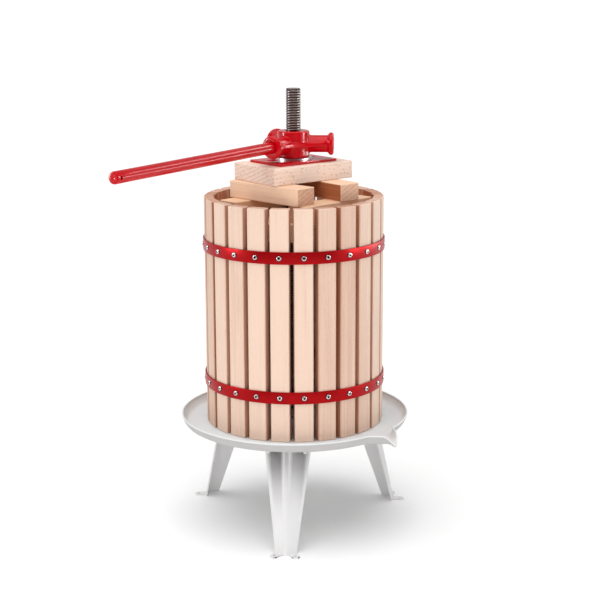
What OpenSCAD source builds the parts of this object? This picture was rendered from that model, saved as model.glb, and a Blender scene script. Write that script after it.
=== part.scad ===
// Basket fruit press: a slatted wooden basket on a pressed steel tray with three folded legs,
// a fixed centre screw, and a cast three-socket hub that is wound down by a slide-in bar.
// Millimetres. The origin is on the floor under the screw, and +Z is up.

/* [Overall] */
// Height of the tray's underside above the floor
stand_h = 164; // [120:1:172]
// Overrun of every cutting shape, so that no cut ends flush with a face
run = 1; // [0.5:0.1:2]

/* [Basket] */
// Outside of the basket, across opposite staves
basket_d = 285; // [282:0.5:290]
// Height of the staves
basket_h = 366; // [360:1:372]
// Number of staves
stave_n = 24; // [20:1:25]
// Width of one stave
stave_w = 29.5; // [26:0.5:31]
// Thickness of one stave
stave_t = 16; // [14:0.5:17]
// Arris on the edges of a stave
stave_edge = 1.2; // [0.5:0.1:2]
// Direction of the first stave, from the +X axis
stave_turn = -99.04; // [-105:0.01:-90]

/* [Hoops] */
// Width of a hoop
hoop_w = 19; // [14:0.5:26]
// Thickness of a hoop's steel
hoop_t = 2; // [1.5:0.1:3]
// Gap between a hoop and the corners of the staves
hoop_fit = 0.06; // [0.04:0.01:0.2]
// Middle of the upper hoop below the top of the staves
upper_hoop_drop = 74.5; // [40:0.5:120]
// Middle of the lower hoop above the foot of the staves
lower_hoop_rise = 71.5; // [40:0.5:120]
// Shank of a hoop screw
hoop_screw_d = 3.5; // [3:0.1:4]
// Length of a hoop screw's shank
hoop_screw_l = 13; // [10:0.5:15]
// Head of a hoop screw, across
hoop_head_d = 7.6; // [7:0.1:8.5]
// Head of a hoop screw, high
hoop_head_h = 2; // [1.6:0.1:2.4]
// Gap round the shank where it passes the hoop
hoop_hole_gap = 0.25; // [0.1:0.05:0.4]
// Gap round the shank in the stave's pilot hole
pilot_gap = 0.05; // [0.02:0.01:0.1]

/* [Tray] */
// Reach of the tray's rolled rim beyond the staves
tray_reach = 42.5; // [40.5:0.5:47.5]
// Thickness of the tray's sheet
tray_t = 2; // [1.5:0.1:2.5]
// Height of the rim's top above the tray's underside
tray_rim_h = 17; // [16:0.5:24]
// Radius of the rolled rim
rim_bead_r = 2.2; // [1.8:0.1:3]
// Radius of the hollow in the rolled rim
rim_hollow_r = 0.8; // [0.5:0.1:1]
// Lean of the tray's outer wall from level
tray_wall_angle = 72; // [60:1:80]
// Inside radius of the bend at the foot of the outer wall
tray_wall_bend = 8; // [6:0.5:10]
// Straight height of the step up to the seat, between its two bends
seat_step = 0.3; // [0.1:0.1:6]
// Running gap between the seat and the feet of the staves
basket_gap = 0.1; // [0.05:0.05:0.3]
// Width of seat that shows outside the staves
seat_margin = 0.8; // [0.3:0.1:2]
// Inside radius of the bends at the edge of the seat
seat_bend = 0.8; // [0.6:0.1:1]

/* [Spout] */
// Direction of the spout, from the +X axis
spout_turn = -42; // [-50:1:-36]
// Inside radius of the spout
spout_r = 21; // [16:0.5:23]
// Height of the spout's channel above the gutter
spout_rise = 0.6; // [0.3:0.1:2]
// Reach of the spout's upper corners beyond the tray's rim
spout_lip_out = 10; // [2:0.5:12]
// Reach of the spout's tip beyond the tray's rim
spout_tip_out = 26; // [16:1:36]

/* [Legs] */
// Direction of the front leg, from the +X axis
leg_turn = -94.9; // [-100:0.1:-90]
// Thickness of a leg's sheet
leg_t = 2; // [1.5:0.1:3]
// Reach of a leg's ridge beyond the staves, at the floor
leg_foot_out = 43.5; // [33.5:0.5:57.5]
// Reach of a leg's ridge beyond the staves, at the tray
leg_top_out = 5.5; // [2.5:0.5:7.5]
// Width of a leg at the floor
leg_foot_w = 34; // [30:1:44]
// Width of a leg at the tray
leg_top_w = 75; // [60:0.2:80]
// Angle that each panel of a leg is folded back from the ridge
leg_fold = 35; // [30:1:38]
// Outside radius of the ridge
leg_bend_r = 6; // [4:0.5:9]
// Holes in the foot tabs, across
foot_hole_d = 5.5; // [4:0.1:7]
// Distance of a foot hole from its panel
foot_hole_out = 12; // [10:0.5:15]
// Radius of a foot tab's round end
foot_tab_r = 6.8; // [5.5:0.1:7.2]
// Distance of a foot tab from the bend of the ridge
foot_tab_inset = 0.6; // [0.4:0.1:1.2]
// Distance of a leg bolt from its panel
top_hole_out = 17; // [16:0.5:18]
// Radius of a top tab's round end
top_tab_r = 10; // [8:0.5:12]
// Shank of a leg bolt
leg_bolt_d = 5; // [4:0.1:5]
// Length of a leg bolt's shank
leg_bolt_l = 11; // [9:0.5:16]
// Head of a leg bolt, across
leg_bolt_head_d = 9; // [8:0.1:9]
// Head of a leg bolt, high
leg_bolt_head_h = 3; // [2:0.1:4]
// Gap round a leg bolt
leg_bolt_gap = 0.25; // [0.1:0.05:0.3]
// Leg nut, across its flats
leg_nut_af = 8; // [7:0.1:8.5]
// Leg nut, high
leg_nut_h = 4; // [3:0.1:4.5]

/* [Screw] */
// Outside of the screw
screw_d = 24; // [22:0.5:25]
// Length of screw below the tray's underside
screw_below = 24; // [22:0.5:40]
// Bevel at each end of the screw
screw_bevel = 1.5; // [0.5:0.1:3]
// Gap round the screw in the tray and its washers
screw_gap = 0.5; // [0.3:0.1:1]
// Gap round the screw in its two fixing nuts
fixing_gap = 0.05; // [0.02:0.01:0.1]
// Fixing nuts, across their flats
fixing_nut_af = 36; // [34:1:38]
// Fixing nuts, high
fixing_nut_h = 14; // [10:0.5:15]
// Washer under the upper fixing nut, across
fixing_washer_d = 44; // [42:1:60]
// Washer under the upper fixing nut, thick
fixing_washer_t = 3; // [2:0.5:4]
// Stiffening disc under the tray, across
disc_d = 120; // [80:1:200]
// Stiffening disc under the tray, thick
disc_t = 4; // [3:0.5:5]

/* [Hub] */
// Height of the hub's foot above the top of the staves
hub_rise = 61; // [50:0.5:100]
// Top of the screw above the top of the hub
hub_drop = 66; // [65.5:0.5:80]
// Height of the hub's boss
hub_h = 42; // [38:1:46]
// Radius of the hub's boss
hub_r = 25.5; // [22:0.5:28]
// Rounding of the boss's edges
hub_round = 2.5; // [1:0.1:4]
// Running gap between the screw and the hub's bore
hub_fit = 0.05; // [0.02:0.01:0.09]
// Direction of the socket that holds the bar, from the +X axis
socket_turn = -123.4; // [-135:0.1:-110]
// Outside radius of a socket
socket_r = 13; // [11.5:0.1:14]
// Reach of a socket from the middle of the screw
socket_reach = 64; // [60:1:70]
// Distance of a socket's blind end from the middle of the screw
socket_floor = 25; // [20:0.5:28]
// Bevel at the mouth of a socket
socket_bevel = 1; // [0.5:0.1:2]
// Outside radius of a socket's end flange
flange_r = 18; // [16:0.5:19]
// Thickness of a socket's end flange
flange_t = 9; // [7:0.5:10]
// Casting fillet behind a flange
flange_fillet = 3; // [2:0.1:4]
// Thickness of the web between the sockets
web_t = 6.5; // [4:0.5:10]
// Radius of the web's hollow edges
web_edge_r = 102; // [92:1:106]
// Distance of the web's edge from the middle of the screw
web_waist = 30; // [28:0.5:32]

/* [Bar] */
// Thickness of the bar
bar_d = 18; // [16:0.1:20]
// Reach of the bar's tip from the middle of the screw
bar_reach = 441; // [300:1:500]
// Sliding gap between the bar and its socket
bar_fit = 0.08; // [0.04:0.01:0.1]
// Gap between the bar's inner end and the socket's blind end
bar_end_gap = 0.3; // [0.2:0.1:2]
// Bevel at the bar's ends
bar_bevel = 1; // [0.5:0.1:2]
// Cross hole near the bar's tip, across
bar_hole_d = 5.5; // [3:0.5:8]
// Distance of the cross hole from the bar's tip
bar_hole_in = 7; // [5:1:40]
// Radius of the ring groove in the bar's tip
bar_groove_r = 6; // [5:0.1:6.5]
// Width of the ring groove and of the centre mark
bar_groove_w = 0.8; // [0.4:0.1:1.2]
// Depth of the ring groove and of the centre mark
bar_groove_depth = 0.5; // [0.3:0.1:1]

/* [Pressure plate] */
// Thrust ring under the hub, across
ring_d = 57.5; // [54:0.5:64]
// Thrust ring under the hub, thick
ring_t = 3.3; // [2:0.1:5]
// Length of the pressure plate
plate_l = 114; // [100:1:140]
// Width of the pressure plate
plate_w = 77; // [70:1:100]
// Height of the pressure plate over its folded edges
plate_h = 4; // [3.5:0.1:8]
// Thickness of the pressure plate's sheet
plate_t = 2; // [1.5:0.1:2.5]
// Opening at each folded corner
plate_seam = 0.8; // [0.4:0.1:1.5]
// Direction of the pressure plate, from the +X axis
plate_turn = 39; // [0:1:90]
// Gap round the screw in the plate
plate_gap = 1; // [0.5:0.1:2]
// Nail holes in the plate, across
nail_d = 5; // [3:0.1:6]
// Distance of a nail hole from the middle of the plate
nail_out = 42; // [36:1:46]

/* [Pressing blocks] */
// Thickness of each block and each pressing board
block_t = 27; // [20:0.5:28]
// Arris on the edges of a block
block_edge = 1; // [0.5:0.1:2]
// Gap round the screw in the top block
block_gap = 1.5; // [0.5:0.1:3]
// Length of the top block
top_block_l = 156; // [130:1:170]
// Width of the top block
top_block_w = 105; // [90:1:120]
// Direction of the top block, from the +X axis
top_block_turn = 38.2; // [0:0.1:90]
// Distance of a lower block's ends from the staves, were it laid through the middle of the press
bar_block_short = 52.5; // [52:0.5:56]
// Width of each lower block, but for the right one of the middle pair
bar_block_w = 38; // [30:1:38]
// Direction of the middle pair's left block
mid_left_turn = 46; // [42:0.5:50]
// Gap between that block's far corner and the staves
mid_left_gap = 6.9; // [5:0.1:18]
// Distance of that block from the screw, along it
mid_left_along = -13; // [-16:0.1:0]
// Width of the middle pair's right block
mid_right_w = 36; // [30:1:38]
// Direction of the middle pair's right block
mid_right_turn = 38; // [34:0.5:44]
// Distance of that block from the screw, across it
mid_right_across = 32; // [32:1:48]
// Gap between that block's far corner and the staves
mid_right_gap = 13.8; // [13:0.1:40]
// Direction of the low pair
low_turn = 45; // [40:0.5:50]
// Distance of the low pair's left block from the screw, across it
low_left_across = 32; // [32:1:60]
// Gap between that block's far corner and the staves
low_left_gap = 3.4; // [3:0.1:20]
// Gap between the corners of the low pair's right block and the staves
low_right_gap = 2.1; // [2:0.1:20]

/* [Pressing boards] */
// Gap between the boards' rim and the staves
board_gap = 4.5; // [2:0.5:10]
// Gap between the two boards
board_split = 2; // [1:0.5:6]
// Gap round the screw in the boards
board_screw_gap = 2; // [1:0.5:5]

/* [Hidden] */
$fn = 96;

// Heights, from the floor up
gutter_z = stand_h + tray_t;
seat_rise = tray_t + 2 * seat_bend + seat_step;
seat_z = gutter_z + seat_rise;
basket_foot = seat_z + basket_gap;
basket_top = basket_foot + basket_h;
upper_hoop_z = basket_top - upper_hoop_drop;
lower_hoop_z = basket_foot + lower_hoop_rise;
screw_foot = stand_h - screw_below;
hub_foot = basket_top + hub_rise;
hub_top = hub_foot + hub_h;
overall_h = hub_top + hub_drop;
socket_z = hub_foot + hub_h / 2;
ring_foot = hub_foot - ring_t;
plate_foot = ring_foot - plate_h;
top_block_foot = plate_foot - block_t;
mid_block_foot = top_block_foot - block_t;
low_block_foot = mid_block_foot - block_t;
board_foot = low_block_foot - block_t;

// Basket
stave_r = basket_d / 2;
chamber_r = stave_r - stave_t;
stave_corner_r = sqrt(pow(stave_r, 2) + pow(stave_w / 2 - stave_edge, 2));
hoop_in_r = stave_corner_r + hoop_fit;
hoop_out_r = hoop_in_r + hoop_t;
head_round = hoop_head_h / 2;

// Tray section, measured from its underside
tray_d = basket_d + 2 * tray_reach;
spout_lip_r = tray_d / 2 + spout_lip_out;
spout_tip_r = tray_d / 2 + spout_tip_out;
seat_edge = stave_corner_r + seat_margin;
step_in = seat_edge + seat_bend;
step_out = step_in + tray_t;
step_foot = step_out + seat_bend;
bend_mid = tray_wall_bend + tray_t / 2;
bead_x = tray_d / 2 - rim_bead_r;
bead_z = tray_rim_h - rim_bead_r;
wall_rise = bead_z - tray_t - tray_wall_bend + bend_mid * cos(tray_wall_angle);
wall_l = wall_rise / sin(tray_wall_angle);
gutter_edge = bead_x - bend_mid * sin(tray_wall_angle) - wall_l * cos(tray_wall_angle);
wall_out = [sin(tray_wall_angle), -cos(tray_wall_angle)];
wall_up = [cos(tray_wall_angle), sin(tray_wall_angle)];
spout_axis = tray_t + spout_rise + spout_r;
trough_sides = 14;
wall_sides = 9;
spout_from = gutter_edge + tray_t / 2;
spout_cut_from = gutter_edge + tray_t;

// Legs, each in its own frame with +X outwards
leg_foot_r = stave_r + leg_foot_out;
leg_top_r = stave_r + leg_top_out;
leg_lean = atan((leg_foot_r - leg_top_r) / stand_h);
level_fold = atan(tan(leg_fold) / cos(leg_lean));
apex_out = leg_bend_r * (1 / cos(leg_fold) - 1) / cos(leg_lean);
foot_mid_y = (leg_bend_r * tan(leg_fold) + foot_tab_inset + foot_tab_r) * cos(level_fold);
foot_mid_x = leg_foot_r + apex_out - foot_mid_y * tan(level_fold);
top_mid_y = leg_top_w / 4;
top_mid_x = leg_top_r + apex_out - top_mid_y * tan(level_fold);
bolt_x = top_mid_x + top_hole_out * cos(level_fold);
bolt_y = top_mid_y + top_hole_out * sin(level_fold);
leg_bolt_r = leg_bolt_d / 2 + leg_bolt_gap;
leg_n = 3;
ridge_sides = 10;

// Hub, bar and plate
screw_r = screw_d / 2;
bar_r = bar_d / 2;
socket_n = 3;
socket_step = 360 / socket_n;
flange_edge = flange_t / 2;
flange_mid = socket_reach - flange_edge;
flange_core = flange_r - flange_edge;
fillet_r = socket_r + flange_fillet;
fillet_back = sqrt(pow(flange_edge + flange_fillet, 2) - pow(fillet_r - flange_core, 2));
web_edge_out = web_waist + web_edge_r;
bar_in = socket_floor + bar_end_gap;
bar_l = bar_reach - bar_in;

// Lower blocks: how far a corner may reach from the screw, and where that puts each block
bar_block_l = 2 * (chamber_r - bar_block_short);
half_block = bar_block_l / 2;
function corner_reach(gap, other) = sqrt(pow(chamber_r - gap, 2) - pow(other, 2));
mid_left_across = bar_block_w / 2 - corner_reach(mid_left_gap, half_block - mid_left_along);
mid_right_along = half_block - corner_reach(mid_right_gap, mid_right_across + mid_right_w / 2);
low_left_along = half_block - corner_reach(low_left_gap, low_left_across + bar_block_w / 2);
low_right_across = bar_block_w / 2 - corner_reach(low_right_gap, half_block);

// Colours
beech = "#dcb693";
pale_beech = "#e3c3a0";
red = "#c4121f";
grey_steel = "#55575b";
bright_steel = "#c6c8ca";
white_coat = "#e6e7e6";

// A box about the origin of X and Y, standing on z = 0, with an arris on all its edges
module arrised_box(l, w, h, edge) {
  intersection() {
    linear_extrude(height = h)
      cut_corners(l, w, edge);
    translate([0, w / 2, h / 2])
      rotate([90, 0, 0])
        linear_extrude(height = w)
          cut_corners(l, h, edge);
    translate([-l / 2, 0, h / 2])
      rotate([90, 0, 90])
        linear_extrude(height = l)
          cut_corners(w, h, edge);
  }
}

// A rectangle with its corners cut at 45 degrees
module cut_corners(a, b, edge) {
  polygon([
    [edge - a / 2, -b / 2], [a / 2 - edge, -b / 2],
    [a / 2, edge - b / 2], [a / 2, b / 2 - edge],
    [a / 2 - edge, b / 2], [edge - a / 2, b / 2],
    [-a / 2, b / 2 - edge], [-a / 2, edge - b / 2]
  ]);
}

// A pan head standing on z = 0, with its upper edge rounded
module pan_head(d, h, round_r) {
  rotate_extrude()
    union() {
      square([d / 2 - round_r, h]);
      square([d / 2, h - round_r]);
      translate([d / 2 - round_r, h - round_r])
        intersection() {
          circle(r = round_r);
          square([round_r, round_r]);
        }
    }
}

// A cylinder on z = 0 with both ends bevelled
module bevelled_rod(r, h, bevel) {
  rotate_extrude()
    polygon([
      [0, 0], [r - bevel, 0], [r, bevel], [r, h - bevel], [r - bevel, h], [0, h]
    ]);
}

// A hexagon nut on z = 0
module hex_nut(af, h, hole_r) {
  difference() {
    cylinder(r = af / 2 / cos(30), h = h, $fn = 6);
    translate([0, 0, -run])
      cylinder(r = hole_r, h = h + 2 * run);
  }
}

// Puts its children in the frame of stave number k, with +X outwards
module at_stave(k) {
  rotate([0, 0, stave_turn])
    rotate([0, 0, (k - 1) * 360 / stave_n])
      children();
}

// The pilot hole of a hoop screw, in the frame of a stave that stands at the +X axis
module pilot_hole(z) {
  translate([hoop_out_r - hoop_screw_l - run, 0, z])
    rotate([0, 90, 0])
      cylinder(r = hoop_screw_d / 2 + pilot_gap, h = hoop_screw_l + 2 * run);
}

module stave(k) {
  color(k % 3 == 0 ? pale_beech : beech)
    at_stave(k)
      difference() {
        translate([stave_r - stave_t / 2, 0, basket_foot])
          arrised_box(stave_t, stave_w, basket_h, stave_edge);
        pilot_hole(upper_hoop_z);
        pilot_hole(lower_hoop_z);
      }
}

module hoop(z) {
  color(red)
    difference() {
      translate([0, 0, z - hoop_w / 2])
        difference() {
          cylinder(r = hoop_out_r, h = hoop_w);
          translate([0, 0, -run])
            cylinder(r = hoop_in_r, h = hoop_w + 2 * run);
        }
      for (k = [1:stave_n])
        at_stave(k)
          translate([stave_r - run, 0, z])
            rotate([0, 90, 0])
              cylinder(r = hoop_screw_d / 2 + hoop_hole_gap, h = hoop_out_r - stave_r + 2 * run);
    }
}

module hoop_screws(z) {
  color(bright_steel)
    for (k = [1:stave_n])
      at_stave(k)
        translate([hoop_out_r, 0, z])
          rotate([0, 90, 0])
            union() {
              pan_head(hoop_head_d, hoop_head_h, head_round);
              translate([0, 0, -hoop_screw_l])
                cylinder(r = hoop_screw_d / 2, h = hoop_screw_l);
            }
}

module upper_hoop() {
  hoop(upper_hoop_z);
}

module lower_hoop() {
  hoop(lower_hoop_z);
}

module upper_hoop_screws() {
  hoop_screws(upper_hoop_z);
}

module lower_hoop_screws() {
  hoop_screws(lower_hoop_z);
}

// The space above the tray, down to a surface that lies a given depth inside the sheet
module tray_space(depth) {
  top = tray_rim_h + spout_r;
  wall_r = tray_wall_bend + depth;
  difference() {
    union() {
      translate([0, tray_t + seat_bend])
        square([gutter_edge, top]);
      translate([step_foot, tray_t - depth])
        square([gutter_edge - step_foot, top]);
      translate([step_foot, tray_t + seat_bend])
        circle(r = seat_bend + depth);
      translate([gutter_edge, tray_t + tray_wall_bend])
        polygon([
          [0, top],
          for (k = [0:wall_sides])
            let (a = tray_wall_angle * k / wall_sides)
              wall_r * [sin(a), -cos(a)],
          wall_r * wall_out + top * wall_up
        ]);
    }
    translate([-run, -run])
      square([seat_edge + run, seat_rise + tray_t - depth + run]);
    translate([-run, -run])
      square([step_out - depth + run, seat_rise - seat_bend + run]);
    translate([seat_edge, seat_rise - seat_bend])
      circle(r = seat_bend + tray_t - depth);
  }
}

// Section of the tray's sheet: seat, step, gutter, flared wall and rolled rim
module tray_section() {
  difference() {
    union() {
      intersection() {
        difference() {
          tray_space(tray_t);
          tray_space(0);
        }
        translate([screw_r + screw_gap, -run])
          square([tray_d, bead_z + run]);
      }
      translate([bead_x, bead_z])
        circle(r = rim_bead_r);
    }
    translate([bead_x, bead_z])
      circle(r = rim_hollow_r);
  }
}

// Outline of the spout's trough, open at the top, with its lowest point on the X axis' line
module trough_outline(r) {
  polygon([
    for (k = [0:trough_sides]) r * [cos(180 + k * 180 / trough_sides), sin(180 + k * 180 / trough_sides)],
    [r, spout_axis], [-r, spout_axis]
  ]);
}

// A trough along +X between two distances from the middle of the press
module trough(r, from, to) {
  translate([from, 0, spout_axis])
    rotate([90, 0, 90])
      linear_extrude(height = to - from)
        trough_outline(r);
}

// The spout before its channel is cut: level with the rim, and cut back to the tip on a slant
module spout_body() {
  intersection() {
    trough(spout_r + tray_t, spout_from, spout_tip_r);
    translate([0, spout_axis, 0])
      rotate([90, 0, 0])
        linear_extrude(height = 2 * spout_axis)
          polygon([
            [0, -run], [spout_tip_r, -run], [spout_tip_r, spout_rise + tray_t],
            [spout_lip_r, tray_rim_h], [0, tray_rim_h]
          ]);
  }
}

module leg_bolt_places() {
  for (k = [0:leg_n - 1])
    rotate([0, 0, leg_turn + k * 360 / leg_n])
      for (side = [-1, 1])
        translate([bolt_x, side * bolt_y, 0])
          children();
}

module tray() {
  color(white_coat)
    translate([0, 0, stand_h])
      difference() {
        union() {
          rotate_extrude()
            tray_section();
          difference() {
            rotate([0, 0, spout_turn])
              spout_body();
            rotate_extrude()
              tray_space(tray_t / 2);
          }
        }
        rotate([0, 0, spout_turn])
          trough(spout_r, spout_cut_from, spout_tip_r + run);
        leg_bolt_places()
          translate([0, 0, -run])
            cylinder(r = leg_bolt_r, h = tray_t + 2 * run);
      }
}

// Points of a leg's surface that lies a given depth inside its sheet, from one side to the other
function leg_line(depth) = [
  leg_wing(-leg_fold, -1, depth),
  for (k = [0:ridge_sides])
    let (a = leg_fold * (2 * k / ridge_sides - 1))
      (leg_bend_r - depth) * [cos(a), sin(a)],
  leg_wing(leg_fold, 1, depth)
];

// The free edge of a panel, beyond the width that is kept
function leg_wing(a, side, depth) =
  (leg_bend_r - depth) * [cos(a), sin(a)] + leg_top_w / cos(leg_fold) * side * [-sin(a), cos(a)];

function reversed(v) = [for (k = [len(v) - 1:-1:0]) v[k]];

// Section of a leg: two flat panels and the rounded ridge between them, ridge outwards
module leg_section() {
  translate([-leg_bend_r, 0])
    polygon(concat(leg_line(0), reversed(leg_line(leg_t))));
}

// A level tab that reaches out from the middle of a panel, with a round end and a hole
module leg_tab(out, tab_r, hole_r) {
  difference() {
    union() {
      translate([-leg_t, -tab_r, 0])
        cube([out + leg_t, 2 * tab_r, leg_t]);
      translate([out, 0, 0])
        cylinder(r = tab_r, h = leg_t);
    }
    translate([out, 0, -run])
      cylinder(r = hole_r, h = leg_t + 2 * run);
  }
}

module leg(k) {
  long = stand_h / cos(leg_lean) + 2 * leg_top_w;
  color(white_coat)
    rotate([0, 0, leg_turn + k * 360 / leg_n])
      union() {
        intersection() {
          translate([leg_foot_r, 0, 0])
            rotate([0, -leg_lean, 0])
              translate([0, 0, -leg_top_w])
                linear_extrude(height = long)
                  leg_section();
          rotate([90, 0, 90])
            linear_extrude(height = leg_foot_r + leg_bend_r)
              polygon([
                [-leg_foot_w / 2, 0], [leg_foot_w / 2, 0],
                [leg_top_w / 2, stand_h], [-leg_top_w / 2, stand_h]
              ]);
        }
        for (side = [0, 1])
          mirror([0, side, 0]) {
            translate([foot_mid_x, foot_mid_y, 0])
              rotate([0, 0, level_fold])
                leg_tab(foot_hole_out, foot_tab_r, foot_hole_d / 2);
            translate([top_mid_x, top_mid_y, stand_h - leg_t])
              rotate([0, 0, level_fold])
                leg_tab(top_hole_out, top_tab_r, leg_bolt_r);
          }
      }
}

module leg_front() {
  leg(0);
}

module leg_right() {
  leg(1);
}

module leg_left() {
  leg(2);
}

module leg_bolts() {
  color(bright_steel)
    leg_bolt_places()
      translate([0, 0, gutter_z])
        union() {
          pan_head(leg_bolt_head_d, leg_bolt_head_h, leg_bolt_head_h / 2);
          translate([0, 0, -leg_bolt_l])
            cylinder(r = leg_bolt_d / 2, h = leg_bolt_l);
        }
}

module leg_nuts() {
  color(bright_steel)
    leg_bolt_places()
      translate([0, 0, stand_h - leg_t - leg_nut_h])
        hex_nut(leg_nut_af, leg_nut_h, leg_bolt_d / 2 + fixing_gap);
}

module screw() {
  color(grey_steel)
    translate([0, 0, screw_foot])
      bevelled_rod(screw_r, overall_h - screw_foot, screw_bevel);
}

module washer(d, t) {
  difference() {
    cylinder(d = d, h = t);
    translate([0, 0, -run])
      cylinder(r = screw_r + screw_gap, h = t + 2 * run);
  }
}

module fixing_washer() {
  color(bright_steel)
    translate([0, 0, seat_z])
      washer(fixing_washer_d, fixing_washer_t);
}

module upper_fixing_nut() {
  color(bright_steel)
    translate([0, 0, seat_z + fixing_washer_t])
      hex_nut(fixing_nut_af, fixing_nut_h, screw_r + fixing_gap);
}

module tray_disc() {
  color(white_coat)
    translate([0, 0, seat_z - tray_t - disc_t])
      washer(disc_d, disc_t);
}

module lower_fixing_nut() {
  color(bright_steel)
    translate([0, 0, seat_z - tray_t - disc_t - fixing_nut_h])
      hex_nut(fixing_nut_af, fixing_nut_h, screw_r + fixing_gap);
}

// Half section of a socket along its axis: barrel, casting fillet and full-round flange
module socket_section() {
  union() {
    square([socket_r, flange_mid]);
    square([flange_core, socket_reach]);
    translate([flange_core, flange_mid])
      circle(r = flange_edge);
    difference() {
      polygon([
        [0, flange_mid - fillet_back], [fillet_r, flange_mid - fillet_back],
        [flange_core, flange_mid], [0, flange_mid]
      ]);
      translate([fillet_r, flange_mid - fillet_back])
        circle(r = flange_fillet);
    }
  }
}

// The boss with its upper and lower edges rounded
module boss() {
  rotate_extrude()
    union() {
      square([hub_r - hub_round, hub_h]);
      translate([0, hub_round])
        square([hub_r, hub_h - 2 * hub_round]);
      for (z = [hub_round, hub_h - hub_round])
        translate([hub_r - hub_round, z])
          circle(r = hub_round);
    }
}

// The flat web that joins the sockets, with a hollow edge between each two
module web() {
  linear_extrude(height = web_t)
    difference() {
      circle(r = flange_mid);
      for (k = [0:socket_n - 1])
        rotate(socket_turn + (k + 1 / 2) * socket_step)
          translate([web_edge_out, 0])
            circle(r = web_edge_r);
    }
}

module hub() {
  color(red)
    translate([0, 0, hub_foot])
      difference() {
        union() {
          boss();
          translate([0, 0, (hub_h - web_t) / 2])
            web();
          for (k = [0:socket_n - 1])
            translate([0, 0, hub_h / 2])
              rotate([0, 90, socket_turn + k * socket_step])
                rotate_extrude()
                  socket_section();
        }
        translate([0, 0, -run])
          cylinder(r = screw_r + hub_fit, h = hub_h + 2 * run);
        for (k = [0:socket_n - 1])
          translate([0, 0, hub_h / 2])
            rotate([0, 90, socket_turn + k * socket_step])
              socket_bore();
      }
}

// The blind bore of a socket, with a bevelled mouth
module socket_bore() {
  translate([0, 0, socket_floor])
    cylinder(r = bar_r + bar_fit, h = socket_reach - socket_floor + run);
  translate([0, 0, socket_reach - socket_bevel])
    cylinder(r1 = bar_r + bar_fit, r2 = bar_r + bar_fit + 2 * socket_bevel, h = 2 * socket_bevel);
}

module bar() {
  color(red)
    translate([0, 0, socket_z])
      rotate([0, 90, socket_turn])
        translate([0, 0, bar_in])
          difference() {
            bevelled_rod(bar_r, bar_l, bar_bevel);
            translate([0, bar_r + run, bar_l - bar_hole_in])
              rotate([90, 0, 0])
                cylinder(d = bar_hole_d, h = bar_d + 2 * run);
            translate([0, 0, bar_l - bar_groove_depth])
              difference() {
                cylinder(r = bar_groove_r, h = bar_groove_depth + run);
                translate([0, 0, -run])
                  cylinder(r = bar_groove_r - bar_groove_w, h = bar_groove_depth + 3 * run);
              }
            translate([0, 0, bar_l - bar_groove_depth])
              cylinder(r = bar_groove_w, h = bar_groove_depth + run);
          }
}

module thrust_ring() {
  color(bright_steel)
    translate([0, 0, ring_foot])
      washer(ring_d, ring_t);
}

module pressure_plate() {
  color(red)
    translate([0, 0, plate_foot])
      rotate([0, 0, plate_turn])
        difference() {
          translate([0, 0, plate_h / 2])
            cube([plate_l, plate_w, plate_h], center = true);
          translate([0, 0, (plate_h - plate_t - run) / 2])
            cube([plate_l - 2 * plate_t, plate_w - 2 * plate_t, plate_h - plate_t + run], center = true);
          for (x = [-1, 1], y = [-1, 1])
            translate([x * plate_l / 2, y * plate_w / 2, (plate_h - plate_t - run) / 2])
              rotate([0, 0, 45])
                cube([plate_seam, plate_seam, plate_h - plate_t + run], center = true);
          cylinder(r = screw_r + plate_gap, h = plate_h + run);
          for (x = [-1, 1])
            translate([x * nail_out, 0, 0])
              cylinder(d = nail_d, h = plate_h + run);
        }
}

module top_block() {
  color(pale_beech)
    translate([0, 0, top_block_foot])
      rotate([0, 0, top_block_turn])
        difference() {
          arrised_box(top_block_l, top_block_w, block_t, block_edge);
          translate([0, 0, -run])
            cylinder(r = screw_r + block_gap, h = block_t + 2 * run);
        }
}

// A lower block that lies along Y, or along X when it is the low pair
module mid_block(turn, across, along, w) {
  color(beech)
    translate([0, 0, mid_block_foot])
      rotate([0, 0, turn])
        translate([across, along, 0])
          arrised_box(w, bar_block_l, block_t, block_edge);
}

module mid_block_left() {
  mid_block(mid_left_turn, mid_left_across, mid_left_along, bar_block_w);
}

module mid_block_right() {
  mid_block(mid_right_turn, mid_right_across, mid_right_along, mid_right_w);
}

module low_block(across, along) {
  color(beech)
    translate([0, 0, low_block_foot])
      rotate([0, 0, low_turn])
        translate([along, across, 0])
          arrised_box(bar_block_l, bar_block_w, block_t, block_edge);
}

module low_block_left() {
  low_block(low_left_across, low_left_along);
}

module low_block_right() {
  low_block(low_right_across, 0);
}

// One half-moon pressing board, on the side given by +1 or -1
module press_board(side) {
  board_r = chamber_r - board_gap;
  color(beech)
    translate([0, 0, board_foot])
      rotate([0, 0, low_turn])
        linear_extrude(height = block_t)
          difference() {
            circle(r = board_r);
            circle(r = screw_r + board_screw_gap);
            translate([side > 0 ? board_split / 2 - 2 * board_r : -board_split / 2, -board_r - run])
              square([2 * board_r, 2 * (board_r + run)]);
          }
}

module press_board_left() {
  press_board(-1);
}

module press_board_right() {
  press_board(1);
}

for (k = [1:stave_n])
  stave(k);
upper_hoop();
lower_hoop();
upper_hoop_screws();
lower_hoop_screws();
tray();
leg_front();
leg_right();
leg_left();
leg_bolts();
leg_nuts();
screw();
fixing_washer();
upper_fixing_nut();
tray_disc();
lower_fixing_nut();
hub();
bar();
thrust_ring();
pressure_plate();
top_block();
mid_block_left();
mid_block_right();
low_block_left();
low_block_right();
press_board_left();
press_board_right();
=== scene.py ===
import math

import bmesh
import bpy
import numpy as np
from mathutils import Matrix, Vector


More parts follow.
